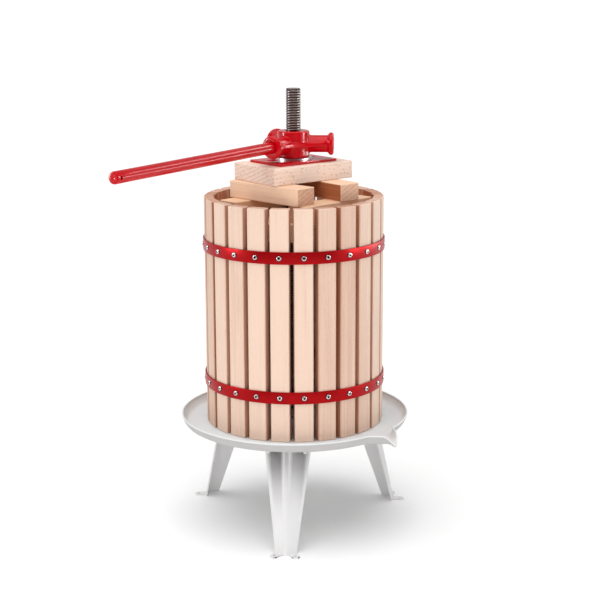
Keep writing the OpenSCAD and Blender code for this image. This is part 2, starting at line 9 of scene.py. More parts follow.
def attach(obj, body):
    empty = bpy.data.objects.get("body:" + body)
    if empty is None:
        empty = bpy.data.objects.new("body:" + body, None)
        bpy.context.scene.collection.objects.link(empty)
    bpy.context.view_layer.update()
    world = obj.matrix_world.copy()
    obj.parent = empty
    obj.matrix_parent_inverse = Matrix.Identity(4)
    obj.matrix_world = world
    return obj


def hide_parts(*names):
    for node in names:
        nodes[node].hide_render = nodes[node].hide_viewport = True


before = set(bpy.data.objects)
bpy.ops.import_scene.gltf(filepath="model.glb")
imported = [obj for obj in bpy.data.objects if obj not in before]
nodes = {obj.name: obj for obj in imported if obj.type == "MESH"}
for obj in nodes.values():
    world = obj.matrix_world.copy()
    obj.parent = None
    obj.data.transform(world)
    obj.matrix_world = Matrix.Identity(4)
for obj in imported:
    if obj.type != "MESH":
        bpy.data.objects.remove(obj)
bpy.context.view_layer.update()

MM = 0.001
TAU = 2 * math.pi
UP = (0, 0, 1)

# Sizes and turns of the press, in metres and radians, as its solids have them
STAND_Z = 0.164
GUTTER_Z = STAND_Z + 2 * MM
SEAT_Z = GUTTER_Z + 3.9 * MM
STAVES = 24
STAVE_TURN = math.radians(-99.04)
STAVE_R, STAVE_W, STAVE_EDGE = 142.5 * MM, 29.5 * MM, 1.2 * MM
HOOP_Z = {"upper": 0.4615, "lower": 0.2415}
HOOP_W, HOOP_T, HOOP_FIT = 19 * MM, 2 * MM, 0.06 * MM
SCREW_FOOT, SCREW_TOP, SCREW_R, PITCH = 0.140, 0.705, 0.012, 0.004
HUB_LOW, HUB_HIGH = 0.597, 0.639
HUB_BORE_R, SOCKET_BORE_R = 12.05 * MM, 9.08 * MM
SOCKET_Z = 0.618
SOCKET_TURN = math.radians(-123.4)
BAR_FROM, BAR_TO, BAR_R = 0.0253, 0.441, 0.009
BAR_HOLE_IN, BAR_HOLE_R = 7 * MM, 2.75 * MM
SPOUT_TURN = math.radians(-42)


# Helpers

def link(obj):
    """Put an object in the scene"""
    bpy.context.scene.collection.objects.link(obj)
    return obj


def linear(r, g, b):
    """A colour given in display values 0 to 255, as scene values"""
    share = [c / 255 for c in (r, g, b)]
    return tuple(c / 12.92 if c <= 0.04 else ((c + 0.055) / 1.055) ** 2.4 for c in share) + (1.0,)


def smooth(x):
    """A soft step from 0 to 1"""
    x = min(max(x, 0.0), 1.0)
    return x * x * (3 - 2 * x)


def mesh_object(name, verts, faces, sharp=None):
    """A smooth shaded mesh. Its edges stay sharp where faces meet at more than sharp degrees."""
    me = bpy.data.meshes.new(name)
    me.from_pydata([tuple(v) for v in verts], [], [tuple(f) for f in faces])
    bm = bmesh.new()
    bm.from_mesh(me)
    bmesh.ops.recalc_face_normals(bm, faces=bm.faces)
    bm.to_mesh(me)
    bm.free()
    me.shade_smooth()
    if sharp:
        me.set_sharp_from_angle(angle=math.radians(sharp))
    return link(bpy.data.objects.new(name, me))


def modify(obj, kind, **settings):
    """Add one modifier and apply it"""
    m = obj.modifiers.new(kind.lower(), kind)
    for key, value in settings.items():
        setattr(m, key, value)
    dg = bpy.context.evaluated_depsgraph_get()
    me = bpy.data.meshes.new_from_object(obj.evaluated_get(dg), depsgraph=dg)
    obj.modifiers.clear()
    old = obj.data
    obj.data = me
    bpy.data.meshes.remove(old)
    return obj


def boolean(obj, cutter, operation="DIFFERENCE"):
    """Cut a shape with another, or join the two, and remove the other"""
    modify(obj, "BOOLEAN", operation=operation, solver="EXACT", object=cutter)
    bpy.data.objects.remove(cutter)
    return obj


def turned(obj, matrix):
    """Move a mesh by a matrix. The object stays where it is."""
    obj.data.transform(matrix)
    obj.data.update()
    return obj


def lathe(name, profile, seg, closed=False, sharp=None):
    """A solid of revolution about Z from (r, z) points. closed joins the last point to the first."""
    verts, faces, rings = [], [], []
    for r, z in profile:
        if r < 1e-9:
            rings.append([len(verts)] * seg)
            verts.append((0, 0, z))
        else:
            rings.append(list(range(len(verts), len(verts) + seg)))
            verts += [(r * math.cos(TAU * k / seg), r * math.sin(TAU * k / seg), z) for k in range(seg)]
    for a, b in zip(rings, rings[1:] + rings[:1] if closed else rings[1:]):
        for k in range(seg):
            quad = [a[k], a[(k + 1) % seg], b[(k + 1) % seg], b[k]]
            face = list(dict.fromkeys(quad))
            if len(face) > 2:
                faces.append(face)
    return mesh_object(name, verts, faces, sharp)


def dressed(name, node, bevel, segments=2):
    """A smooth shaded copy of a CAD node, with its edges broken a little"""
    me = nodes[node].data.copy()
    me.name = name
    me.materials.clear()
    obj = link(bpy.data.objects.new(name, me))
    bm = bmesh.new()
    bm.from_mesh(me)
    bmesh.ops.remove_doubles(bm, verts=bm.verts, dist=3e-6)
    bmesh.ops.dissolve_limit(bm, angle_limit=math.radians(0.7), verts=bm.verts, edges=bm.edges)
    bm.to_mesh(me)
    bm.free()
    sharp = math.radians(40)
    modify(obj, "BEVEL", width=bevel, segments=segments, limit_method="ANGLE",
           angle_limit=sharp, use_clamp_overlap=True)
    obj.data.shade_smooth()
    obj.data.set_sharp_from_angle(angle=sharp)
    return obj


def copies(name, source, matrices):
    """One mesh that holds a copy of source at each matrix"""
    n = len(source.data.vertices)
    co = np.empty(n * 3)
    source.data.vertices.foreach_get("co", co)
    co = np.c_[co.reshape(-1, 3), np.ones(n)]
    polygons = [list(p.vertices) for p in source.data.polygons]
    verts, faces = [], []
    for i, m in enumerate(matrices):
        verts += [tuple(v) for v in (co @ np.array(m).T)[:, :3]]
        faces += [[v + i * n for v in f] for f in polygons]
    bpy.data.objects.remove(source)
    return mesh_object(name, verts, faces, sharp=38)


def finish_piece(obj, mat, body, slot, *replaced):
    """Give a piece its material and its body, and hide the CAD nodes that it stands for. slot is not used."""
    obj.data.materials.clear()
    obj.data.materials.append(mat)
    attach(obj, body)
    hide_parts(*replaced)
    return obj


def give(mat, *names):
    """A carried-over CAD node keeps its mesh and gets a finish"""
    for name in names:
        nodes[name].data.materials.clear()
        nodes[name].data.materials.append(mat)


# Materials

class Graph:
    """Short forms for building a material's nodes"""

    SOCKETS = {"color": "Base Color", "rough": "Roughness", "metal": "Metallic",
               "level": "Specular IOR Level", "normal": "Normal"}

    def __init__(self, name):
        self.mat = bpy.data.materials.new(name)
        self.mat.use_nodes = True
        self.tree = self.mat.node_tree
        self.bsdf = self.tree.nodes["Principled BSDF"]

    def put(self, socket, value):
        """Link a node's output to a socket, or set a number or colour on it"""
        if isinstance(value, bpy.types.NodeSocket):
            self.tree.links.new(value, socket)
        else:
            socket.default_value = value

    def node(self, kind, values=None, **attrs):
        """A new node. values go to its inputs, by name or by number, and attrs to its own settings."""
        n = self.tree.nodes.new(kind)
        for k, v in attrs.items():
            setattr(n, k, v)
        for k, v in (values or {}).items():
            self.put(n.inputs[k], v)
        return n

    def math(self, op, *values, clamp=False):
        n = self.node("ShaderNodeMath", operation=op, use_clamp=clamp)
        for s, v in zip(n.inputs, values):
            self.put(s, v)
        return n.outputs[0]

    def sum(self, *values):
        total = values[0]
        for v in values[1:]:
            total = self.math("ADD", total, v)
        return total

    def vmath(self, op, *values):
        n = self.node("ShaderNodeVectorMath", operation=op)
        for s, v in zip(n.inputs, values):
            self.put(s, v)
        return n.outputs["Value"] if op in ("DOT_PRODUCT", "LENGTH") else n.outputs["Vector"]

    def range(self, value, a, b, c, d):
        """A value that goes from a to b, made to go from c to d, and held at those two"""
        return self.node("ShaderNodeMapRange", {0: value, 1: a, 2: b, 3: c, 4: d}).outputs[0]

    def noise(self, vector, scales, detail=2.0, rough=0.5):
        """Noise from 0 to 1. scales is how many features lie in a metre, for all axes or for each."""
        vector = self.vmath("MULTIPLY", vector, scales if isinstance(scales, tuple) else (scales,) * 3)
        values = {"Vector": vector, "Scale": 1.0, "Detail": detail, "Roughness": rough}
        return self.node("ShaderNodeTexNoise", values).outputs["Fac"]

    def around(self, value, middle, amount):
        """How far a noise lies from its middle, times an amount"""
        return self.math("MULTIPLY", self.math("SUBTRACT", value, middle), amount)

    def mix(self, fac, a, b):
        n = self.node("ShaderNodeMix", data_type="RGBA")
        for index, value in ((0, fac), (6, a), (7, b)):
            self.put(n.inputs[index], value)
        return n.outputs[2]

    def vector(self, *values):
        return self.node("ShaderNodeCombineXYZ", dict(enumerate(values))).outputs[0]

    def split(self, vector):
        return self.node("ShaderNodeSeparateXYZ", {0: vector}).outputs

    def radius(self, vector):
        """How far a point lies from the Z axis"""
        x, y = self.split(vector)[:2]
        return self.vmath("LENGTH", self.vector(x, y))

    def place(self):
        """Where a point of the press lies at rest, in metres"""
        return self.node("ShaderNodeTexCoord").outputs["Object"]

    def place_along(self, *ways):
        """A point's coordinates along three ways"""
        return self.vector(*(self.vmath("DOT_PRODUCT", self.place(), way) for way in ways))

    def faces(self, way):
        """How far a surface looks a way, from -1 to 1"""
        return self.vmath("DOT_PRODUCT", self.node("ShaderNodeTexCoord").outputs["Normal"], way)

    def bump(self, height, distance, strength=1.0, normal=None):
        n = self.node("ShaderNodeBump", {"Height": height, "Distance": distance, "Strength": strength})
        if normal is not None:
            self.put(n.inputs["Normal"], normal)
        return n.outputs[0]

    def set(self, **values):
        for k, v in values.items():
            self.put(self.bsdf.inputs[self.SOCKETS[k]], v)
        return self.mat


def flecks(g, p, across, along):
    """Ray flecks: short dashes along the grain, one in two of every three cells of the given size"""
    scales = (1 / across, 1 / across, 1 / along)
    cells = g.node("ShaderNodeTexVoronoi", {"Vector": g.vmath("MULTIPLY", p, scales), "Scale": 1.0})
    dash = g.range(cells.outputs["Distance"], 0.16, 0.32, 1.0, 0.0)
    pick = g.node("ShaderNodeSeparateColor", {0: cells.outputs["Color"]}).outputs[0]
    return g.math("MULTIPLY", dash, g.math("GREATER_THAN", pick, 0.32))


# Spacing of the growth rings, where their middle lies, and how fine each pattern is across, through and along
RING_GAP, PITH, WANDER = 3.1 * MM, (0.021, 0.083, 0.0), (9.0, 9.0, 1.6)
FINE, COARSE, CLOUD = (2600.0, 2600.0, 45.0), (420.0, 420.0, 6.0), (26.0, 26.0, 4.0)


def wood(name, place, base, end, seed=0.0, fleck=0.15, fleck_size=(1.6 * MM, 6 * MM), tone_and_shade=None):
    """Beech. place gives (across, through, along the grain) in metres, and how far a face looks along it.
    end and fleck say how much the end grain and the ray flecks are darker. The tone function darkens the
    piece itself, with its own tone and with any painted shade."""
    g = Graph(name)
    p, along = place(g)
    p = g.vmath("ADD", p, (seed * 0.37, seed * 0.23, seed * 0.71))
    # growth rings round a pith that wanders slowly along the grain
    wander = g.noise(p, WANDER, 1.0)
    radius = g.radius(g.vmath("ADD", p, PITH))
    phase = g.sum(g.math("MULTIPLY", radius, 1 / RING_GAP), g.math("MULTIPLY", wander, 4.5))
    ring = g.math("POWER", g.math("PINGPONG", phase, 1.0), 3.0)
    # fibres, fine and coarse, and slow clouds of colour
    fine = g.noise(p, FINE, 3.0, 0.6)
    coarse = g.noise(p, COARSE, 3.0, 0.55)
    cloud = g.noise(p, CLOUD)
    dash = flecks(g, p, *fleck_size)
    ends = g.range(g.math("ABSOLUTE", along), 0.75, 0.95, 0.0, 1.0)
    ring_share = g.sum(0.05, g.math("MULTIPLY", ends, 0.16))
    amount = g.sum(g.math("MULTIPLY", ring, ring_share), g.math("MULTIPLY", dash, fleck),
                   g.math("MULTIPLY", ends, end), g.around(fine, 0.5, 0.36),
                   g.around(coarse, 0.45, 0.50), g.around(cloud, 0.45, 0.34))
    # the piece's own tone, and on some pieces painted shade, darken it here
    if tone_and_shade:
        amount = g.sum(amount, tone_and_shade(g))
    color = g.mix(g.math("ADD", amount, 0.0, clamp=True), base, BEECH_DARK)
    height = g.sum(g.math("MULTIPLY", fine, 0.6), g.math("MULTIPLY", coarse, 0.4),
                   g.math("MULTIPLY", dash, -0.5))
    return g.set(color=color, rough=g.range(coarse, 0.2, 0.8, 0.52, 0.68),
                 normal=g.bump(height, 0.12 * MM, 0.5), level=0.3)


def stave_axes(g):
    """The number of the stave nearest to a point, and the ways out of it and sideways along it"""
    x, y = g.split(g.place())[:2]
    number = g.math("SUBTRACT", g.math("ARCTAN2", y, x), STAVE_TURN)
    number = g.math("WRAP", g.math("ROUND", g.math("DIVIDE", number, TAU / STAVES)), STAVES, 0)
    at = g.math("ADD", g.math("MULTIPLY", number, TAU / STAVES), STAVE_TURN)
    out = g.vector(g.math("COSINE", at), g.math("SINE", at))
    return number, out, g.vmath("CROSS_PRODUCT", UP, out)


def stave_place(g):
    """Coordinates of the stave a point is in: round the basket, through the stave, and up"""
    number, out, sideways = stave_axes(g)
    shift = g.node("ShaderNodeTexWhiteNoise", {"W": g.math("ADD", number, 40.3)}, noise_dimensions="1D")
    local = g.place_along(sideways, out, UP)
    local = g.vmath("ADD", local, g.vmath("MULTIPLY", shift.outputs["Color"], (3.0, 3.0, 3.0)))
    g.chance = shift.outputs["Value"]
    # how far a face looks sideways and out of the basket, used for the staves' painted shade
    g.sideways = g.math("ABSOLUTE", g.faces(sideways))
    g.outward = g.faces(out)
    return local, g.faces(UP)


def from_screw(g):
    """How far a point on a hoop lies from the middle of the nearest screw head"""
    across = g.vmath("DOT_PRODUCT", g.place(), stave_axes(g)[2])
    z = g.split(g.place())[2]
    off = [g.math("ABSOLUTE", g.math("SUBTRACT", z, middle)) for middle in HOOP_Z.values()]
    return g.vmath("LENGTH", g.vector(across, g.math("MINIMUM", *off)))


def stave_tone_and_painted_shade(g):
    """Each stave is lighter or darker than the next. Its sides are darker than its face, partly for the sawn
    grain and partly as painted shade of the gaps between staves, and its back is darker as painted shade of
    the basket's inside.
    """
    return g.sum(g.range(g.chance, 0.0, 1.0, -0.12, 0.24), g.range(g.sideways, 0.6, 0.9, 0.0, 0.62),
                 g.range(g.outward, -0.9, -0.6, 0.80, 0.0))


def level_way(turn):
    """The level way that lies this many degrees from +X"""
    a = math.radians(turn)
    return math.cos(a), math.sin(a), 0.0


def painted_side_shade(turn, amount):
    """Painted shade: the side of a block that looks this way is darker than the rest, as if in the shade of
    the nook it faces
    """
    return lambda g: g.range(g.faces(level_way(turn)), 0.7, 0.9, 0.0, amount)


def block_place(turn, upright=True):
    """Coordinates of a piece whose grain lies level, this many degrees from +X.
    The first of them goes up if upright, and otherwise level across the grain."""
    along = level_way(turn)
    across = (-along[1], along[0], 0.0)
    first, second = (UP, across) if upright else (across, UP)
    return lambda g: (g.place_along(first, second, along), g.faces(along))


def enamel(name, base, deep, rough, lumps=0.0, metal=0.0, level=0.26, peel=0.006 * MM, darker_at=None):
    """Gloss paint with orange peel, over cast lumps where the metal is cast. The dark mask says where the
    colour is darkened: on the hoops, painted shade round the screw heads.
    """
    g = Graph(name)
    p = g.place()
    broad = g.noise(p, 60.0, 3.0, 0.6)
    color = g.mix(g.range(broad, 0.3, 0.7, 0.0, 1.0), base, deep)
    # the colour darkens where the mask says: on the hoops, painted shade round the screw heads
    if darker_at:
        color = g.mix(darker_at(g), color, HOLLOW_DARK)
    normal = g.bump(g.noise(p, 500.0, 1.0), peel)
    if lumps:
        normal = g.bump(g.noise(p, 330.0, 4.0, 0.62), lumps, 1.0, normal)
    return g.set(color=color, rough=g.range(broad, 0.3, 0.7, rough * 0.85, rough * 1.15), normal=normal,
                 metal=metal, level=level)


def powder(name, base, deep, shade_under=None):
    """Satin powder coat on pressed sheet. The under colour is painted shade on faces that look down."""
    g = Graph(name)
    p = g.place()
    wave = g.noise(p, 14.0)
    rough = 0.48
    color = g.mix(g.range(wave, 0.35, 0.65, 0.0, 1.0), base, deep)
    # painted shade: faces that look down go towards the darker under colour
    if shade_under:
        down = g.range(g.faces(UP), -0.25, -0.05, 1.0, 0.0)
        color = g.mix(down, color, shade_under)
    normal = g.bump(g.noise(p, 1100.0), 0.018 * MM, 1.0, g.bump(wave, 0.6 * MM, 0.5))
    return g.set(color=color, rough=g.range(wave, 0.3, 0.7, rough * 0.9, rough * 1.1),
                 normal=normal, level=0.3)


def steel(name, base, deep, rough, metal=1.0, darker_at=None):
    """Bare or plated steel with fine marks. The dark mask says where the colour is darkened: painted shade in
    the recesses of the screw heads, and a darker colour in the root of the screw's thread.
    """
    g = Graph(name)
    p = g.place()
    marks = g.noise(p, 700.0, 4.0, 0.6)
    broad = g.noise(p, 70.0, 3.0, 0.6)
    color = g.mix(g.math("MULTIPLY", g.sum(marks, broad), 0.5), base, deep)
    # darkened where the mask says: painted shade in screw head recesses, a darker colour in the thread's root
    if darker_at:
        color = g.mix(darker_at(g), color, HOLLOW_DARK)
    return g.set(color=color, metal=metal, rough=g.range(marks, 0.25, 0.75, rough * 0.8, rough * 1.25),
                 normal=g.bump(marks, 0.01 * MM))


def painted_shade_round_head(g):
    """Painted shade in the corner between a hoop and its screw heads"""
    return g.range(from_screw(g), 4.0 * MM, 5.6 * MM, 0.8, 0.0)


def painted_shade_in_recess(g):
    """Painted shade in the recess of a screw head"""
    return g.range(from_screw(g), 1.5 * MM, 2.1 * MM, 1.0, 0.0)


def in_root(g):
    """Darker colour in the root of the screw's thread"""
    radius = g.radius(g.place())
    side = g.math("LESS_THAN", g.math("ABSOLUTE", g.faces(UP)), 0.9)
    return g.math("MULTIPLY", side, g.range(radius, 10.5 * MM, 11.7 * MM, 0.85, 0.0))


# dark colour for painted shade round and in the screw heads, and for the darker thread root
HOLLOW_DARK = linear(46, 14, 15)
BEECH, BEECH_DARK = linear(235, 206, 186), linear(168, 99, 60)
BEECH_PALE = linear(243, 218, 201)
WARM, WARMER = linear(242, 204, 173), linear(234, 194, 160)
# the staves get their own tone per stave, and painted shade on their sides and backs
mat_stave = wood("beech_staves", stave_place, BEECH, 0.38, tone_and_shade=stave_tone_and_painted_shade)
mat_top_block = wood("beech_top_block", block_place(38.2), BEECH_PALE, 0.12, 1.3, 0.55, (3.2 * MM, 7.5 * MM))
mat_mid_left = wood("beech_mid_left", block_place(136), WARM, 0.42, 2.1)
# painted shade on its left side, in the nook under the top block
mat_mid_right = wood("beech_mid_right", block_place(128), WARM, 0.30, 3.7, tone_and_shade=painted_side_shade(218, 0.95))
mat_low_left = wood("beech_low_left", block_place(45), WARMER, 0.40, 4.9)
mat_low_right = wood("beech_low_right", block_place(45), WARMER, 0.40, 5.2)
mat_board_left = wood("beech_board_left", block_place(-45, False), WARMER, 0.40, 6.6)
mat_board_right = wood("beech_board_right", block_place(-45, False), WARMER, 0.40, 7.4)
RED, RED_DEEP = linear(203, 4, 22), linear(188, 3, 16)
# painted shade round each screw head on the hoops
mat_hoop = enamel("red_enamel", linear(170, 2, 11), linear(158, 2, 8), 0.34, metal=0.45, level=0.15,
                  darker_at=painted_shade_round_head)
mat_cast = enamel("red_enamel_on_casting", RED, RED_DEEP, 0.15, lumps=0.16 * MM)
mat_bar = enamel("red_enamel_on_bar", linear(198, 6, 22), linear(184, 4, 16), 0.17, peel=0.0012 * MM)
mat_plate = enamel("red_enamel_on_plate", RED, RED_DEEP, 0.16)
mat_white = powder("white_powder_coat", linear(225, 224, 224), linear(222, 221, 221))
# painted shade on the tray's outer wall, which looks down
mat_tray = powder("white_coat_on_tray", linear(224, 226, 227), linear(220, 223, 224),
                  shade_under=linear(187, 185, 184))
mat_screw = steel("dark_screw_steel", linear(152, 141, 138), linear(94, 85, 82), 0.24, 0.9, darker_at=in_root)
mat_bright = steel("zinc_steel", linear(228, 226, 224), linear(192, 190, 188), 0.22)
# a shade pinker than plain zinc, as painted reflection of the red hoops; the recesses get painted shade
mat_heads = steel("zinc_on_screw_heads", linear(228, 222, 220), linear(200, 192, 190), 0.24,
                  darker_at=painted_shade_in_recess)
mat_ring = steel("bright_ring_steel", linear(236, 230, 232), linear(212, 204, 206), 0.30)

give(mat_stave, *(f"stave_{k:02d}" for k in range(1, STAVES + 1)))
give(mat_top_block, "top_block")
give(mat_mid_left, "mid_block_left")
give(mat_mid_right, "mid_block_right")
give(mat_low_left, "low_block_left")
give(mat_low_right, "low_block_right")
give(mat_board_left, "press_board_left")
give(mat_board_right, "press_board_right")
give(mat_ring, "thrust_ring")
give(mat_white, "tray_disc", "leg_bolts")
give(mat_bright, "fixing_washer", "upper_fixing_nut", "lower_fixing_nut", "leg_nuts")


# Hoops and their screws

def hoop_section(r0, r1, z0, z1, e):
    """Section of a flat ring with its four edges rounded"""
    out, n = [], 3
    corners = ((r1 - e, z0 + e, -90), (r1 - e, z1 - e, 0), (r0 + e, z1 - e, 90), (r0 + e, z0 + e, 180))
    for cr, cz, start in corners:
        for i in range(n + 1):
            a = math.radians(start + 90 * i / n)
            out.append((cr + e * math.cos(a), cz + e * math.sin(a)))
    return out


def recess_arm(turn, top):
    """One arm of a cross recess, narrower at its foot"""
    me = bpy.data.meshes.new("arm")
    bm = bmesh.new()
    length, width, depth, taper = 4.8 * MM, 1.2 * MM, 1.6 * MM, 0.6
    matrix = Matrix.Translation((0, 0, top)) @ Matrix.Rotation(turn, 4, "Z")
    bmesh.ops.create_cube(bm, size=1.0, matrix=matrix @ Matrix.Diagonal((length, width, 2 * depth, 1)))
    for v in bm.verts:
        if v.co.z < top:
            v.co.x *= taper
            v.co.y *= taper
    bm.to_mesh(me)
    bm.free()
    return link(bpy.data.objects.new("arm", me))


def pan_head(name):
    """A pan head with a pitted cross recess, on the +Z axis, its underside at z = 0"""
    r, h, e = 3.8 * MM, 2.0 * MM, 1.35 * MM
    profile = [(0, 0), (r - 0.1 * MM, 0)]
    for i in range(7):
        a = math.radians(90 * i / 6)
        profile.append((r - e + e * math.cos(a), h - 0.1 * MM - e + e * math.sin(a)))
    # the pit in the middle, where the two arms of the cross meet
    pit = [(1.5 * MM, h - 0.02 * MM), (1.1 * MM, 0.7 * MM), (0, 0.5 * MM)]
    head = lathe(name, profile + pit, 32)
    for turn in (0, math.pi / 2):
        boolean(head, recess_arm(turn, h + 0.2 * MM))
    return head


HOOP_IN = math.hypot(STAVE_R, STAVE_W / 2 - STAVE_EDGE) + HOOP_FIT
HOOP_OUT = HOOP_IN + HOOP_T
for which, z in HOOP_Z.items():
    section = hoop_section(HOOP_IN, HOOP_OUT, z - HOOP_W / 2, z + HOOP_W / 2, 0.6 * MM)
    band = lathe(f"{which}_hoop_band", section, 192, closed=True, sharp=60)
    finish_piece(band, mat_hoop, "basket", "red_paint", f"{which}_hoop")
    places = []
    for k in range(STAVES):
        out = Matrix.Rotation(STAVE_TURN + k * TAU / STAVES, 4, "Z") @ Matrix.Translation((HOOP_OUT, 0, z))
        # the cross of each head stopped at its own angle
        driven = Matrix.Rotation(math.radians((k * 37 + len(which) * 11) % 90), 4, "Z")
        places.append(out @ Matrix.Rotation(math.pi / 2, 4, "Y") @ driven)
    heads = copies(f"{which}_hoop_screw_heads", pan_head("head"), places)
    finish_piece(heads, mat_heads, "basket", "bright_steel", f"{which}_hoop_screws")


# Screw

SCREW_ROOT_R, SCREW_BEVEL = 0.0103, 1.6 * MM


def thread():
    """A rolled thread with a round crest and root, bevelled and cut square at both ends"""
    seg = 32
    # how far along one turn each row of points lies, and its height from root 0 to crest 1
    share = [0.0, 0.10, 0.30, 0.42, 0.58, 0.70, 0.90]
    level = [0.0, 0.22, 0.92, 1.0, 1.0, 0.92, 0.22]
    rows = len(share)
    n = (int((SCREW_TOP - SCREW_FOOT) / PITCH) + 4) * rows
    verts, faces = [], []
    for k in range(seg):
        for j in range(n):
            z = SCREW_FOOT + (j // rows - 2 + share[j % rows] + k / seg) * PITCH
            end = max(min(SCREW_TOP - z, z - SCREW_FOOT), 0.0)
            r = SCREW_ROOT_R + (SCREW_R - SCREW_ROOT_R) * level[j % rows]
            r = min(r, SCREW_R - SCREW_BEVEL + end)
            verts.append((r * math.cos(TAU * k / seg), r * math.sin(TAU * k / seg), z))
        after = (k + 1) % seg * n + (0 if k < seg - 1 else rows)
        faces += [(k * n + j, after + j, after + j + 1, k * n + j + 1) for j in range(n - 1 - rows)]
    obj = mesh_object("screw_thread", verts, faces)
    bm = bmesh.new()
    bm.from_mesh(obj.data)
    for z, way in ((SCREW_FOOT, -1), (SCREW_TOP, 1)):
        cut = bmesh.ops.bisect_plane(bm, geom=bm.verts[:] + bm.edges[:] + bm.faces[:], plane_co=(0, 0, z),
                                     plane_no=(0, 0, way), clear_outer=True)
        bmesh.ops.holes_fill(bm, edges=[e for e in cut["geom_cut"] if isinstance(e, bmesh.types.BMEdge)])
    bmesh.ops.recalc_face_normals(bm, faces=bm.faces)
    bm.to_mesh(obj.data)
    bm.free()
    obj.data.shade_smooth()
    obj.data.set_sharp_from_angle(angle=math.radians(50))
    return obj


finish_piece(thread(), mat_screw, "stand", "screw_steel", "screw")


# Tray and legs

SHEET = 1.8 * MM
BEAD_R, BEAD_SINK = 1.6 * MM, 0.3 * MM
SEAT_EDGE_R, STEP_END_R = 144.2 * MM, 161 * MM
WALL_FROM_R = 171 * MM
RIM_R, RIM_Z = 183.2 * MM, 179.4 * MM
WALL_LEAN = math.radians(72)
LIP_HALF = math.radians(10.5)
THROAT_HALF = math.radians(4.9)
LIP_R, LIP_Z = 210 * MM, 162.4 * MM
LIP_FROM_R = 190 * MM
LIP_DROOP = math.radians(-16)


def bezier(points, n):
    """Points along a cubic curve, the first one left out"""
    a, b, c, d = (np.array(p) for p in points)
    return [tuple((1 - t) ** 3 * a + 3 * (1 - t) ** 2 * t * b + 3 * (1 - t) * t * t * c + t ** 3 * d)
            for t in (i / n for i in range(1, n + 1))]


def tray_rim(off):
    """Rim point and lean of the wall at an angle off the spout's middle"""
    reach = 0.5 + 0.5 * math.cos(math.pi * min(abs(off) / LIP_HALF, 1.0))
    rise = math.sin(math.pi / 2 * min(abs(off) / THROAT_HALF, 1.0)) ** 1.5
    r = RIM_R + (LIP_R - RIM_R) * reach
    z = LIP_Z + (RIM_Z - LIP_Z) * rise
    return r, z, LIP_DROOP + (WALL_LEAN - LIP_DROOP) * smooth(rise) * (1 - 0.35 * reach), reach


def tray_line(off):
    """Upper line of the tray's sheet, from the screw out to the rim"""
    r, z, lean, reach = tray_rim(off)
    line = [(SCREW_R + 0.5 * MM, SEAT_Z), (60 * MM, SEAT_Z), (120 * MM, SEAT_Z), (SEAT_EDGE_R, SEAT_Z)]
    for i in range(1, 11):
        along, down = i / 10, smooth(i / 10)
        line.append((SEAT_EDGE_R + (STEP_END_R - SEAT_EDGE_R) * along, SEAT_Z + (GUTTER_Z - SEAT_Z) * down))
    foot = WALL_FROM_R + (LIP_FROM_R - WALL_FROM_R) * smooth(reach)
    line += [(STEP_END_R + (foot - STEP_END_R) * i / 4, GUTTER_Z) for i in range(1, 5)]
    # the wall is one curve, which leaves the gutter level and meets the rim at its lean
    pull = 0.52 * math.hypot(r - foot, z - GUTTER_Z)
    ahead = (foot + 0.55 * (r - foot), GUTTER_Z)
    behind = (r - pull * math.cos(lean), z - pull * math.sin(lean))
    return line + bezier(((foot, GUTTER_Z), ahead, behind, (r, z)), 14)


def tray():
    """The tray's sheet, with points half a degree apart at the spout and two degrees apart elsewhere"""
    near = [math.radians(d / 2) for d in range(-32, 33)]
    rest = [math.radians(16 + 2 * i) for i in range(1, 164)]
    offs = near + rest
    lines = [tray_line(off if off < math.pi else off - TAU) for off in offs]
    rows = len(lines[0])
    verts, faces = [], []
    for off, line in zip(offs, lines):
        a = SPOUT_TURN + off
        verts += [(r * math.cos(a), r * math.sin(a), z) for r, z in line]
    for k in range(len(offs)):
        m = (k + 1) % len(offs)
        faces += [(k * rows + j, k * rows + j + 1, m * rows + j + 1, m * rows + j) for j in range(rows - 1)]
    sheet = mesh_object("tray_sheet", verts, faces)
    if sheet.data.polygons[0].normal.z < 0:
        sheet.data.flip_normals()
    modify(sheet, "SOLIDIFY", thickness=SHEET, offset=-1.0)
    # the rolled rim: a round bead along the sheet's outer edge
    around = 10
    path = [Vector(verts[k * rows + rows - 1]) for k in range(len(offs))]
    bead, bands = [], []
    for k, at in enumerate(path):
        ahead = (path[(k + 1) % len(path)] - path[k - 1]).normalized()
        out = Vector((at.x, at.y, 0)).normalized()
        side = (out - ahead * out.dot(ahead)).normalized()
        up = ahead.cross(side)
        up = up if up.z > 0 else -up
        middle = at - up * BEAD_SINK
        for j in range(around):
            a = TAU * j / around
            bead.append(middle + (side * math.cos(a) + up * math.sin(a)) * BEAD_R)
        this, other = k * around, (k + 1) % len(path) * around
        for j in range(around):
            i = (j + 1) % around
            bands.append((this + j, other + j, other + i, this + i))
    rim = mesh_object("rim", bead, bands)
    bm = bmesh.new()
    bm.from_mesh(sheet.data)
    bm.from_mesh(rim.data)
    bm.to_mesh(sheet.data)
    bm.free()
    bpy.data.objects.remove(rim)
    sheet.data.shade_smooth()
    sheet.data.set_sharp_from_angle(angle=math.radians(50))
    return sheet


finish_piece(tray(), mat_tray, "stand", "white_coat", "tray")
for side in ("front", "right", "left"):
    leg = dressed(f"leg_{side}_sheet", f"leg_{side}", bevel=0.4 * MM)
    finish_piece(leg, mat_white, "stand", "white_coat", f"leg_{side}")


# Hub, bar and plate

def socket_matrix(k):
    """Turns a piece made along +Z so that it lies along a socket of the hub"""
    turn = Matrix.Rotation(SOCKET_TURN + k * TAU / 3, 4, "Z")
    return Matrix.Translation((0, 0, SOCKET_Z)) @ turn @ Matrix.Rotation(math.pi / 2, 4, "Y")


def rod(r, a, b, seg=48):
    """A plain rod about Z from height a to height b, for filling and cutting bores"""
    return lathe("rod", [(0, a), (r, a), (r, b), (0, b)], seg)


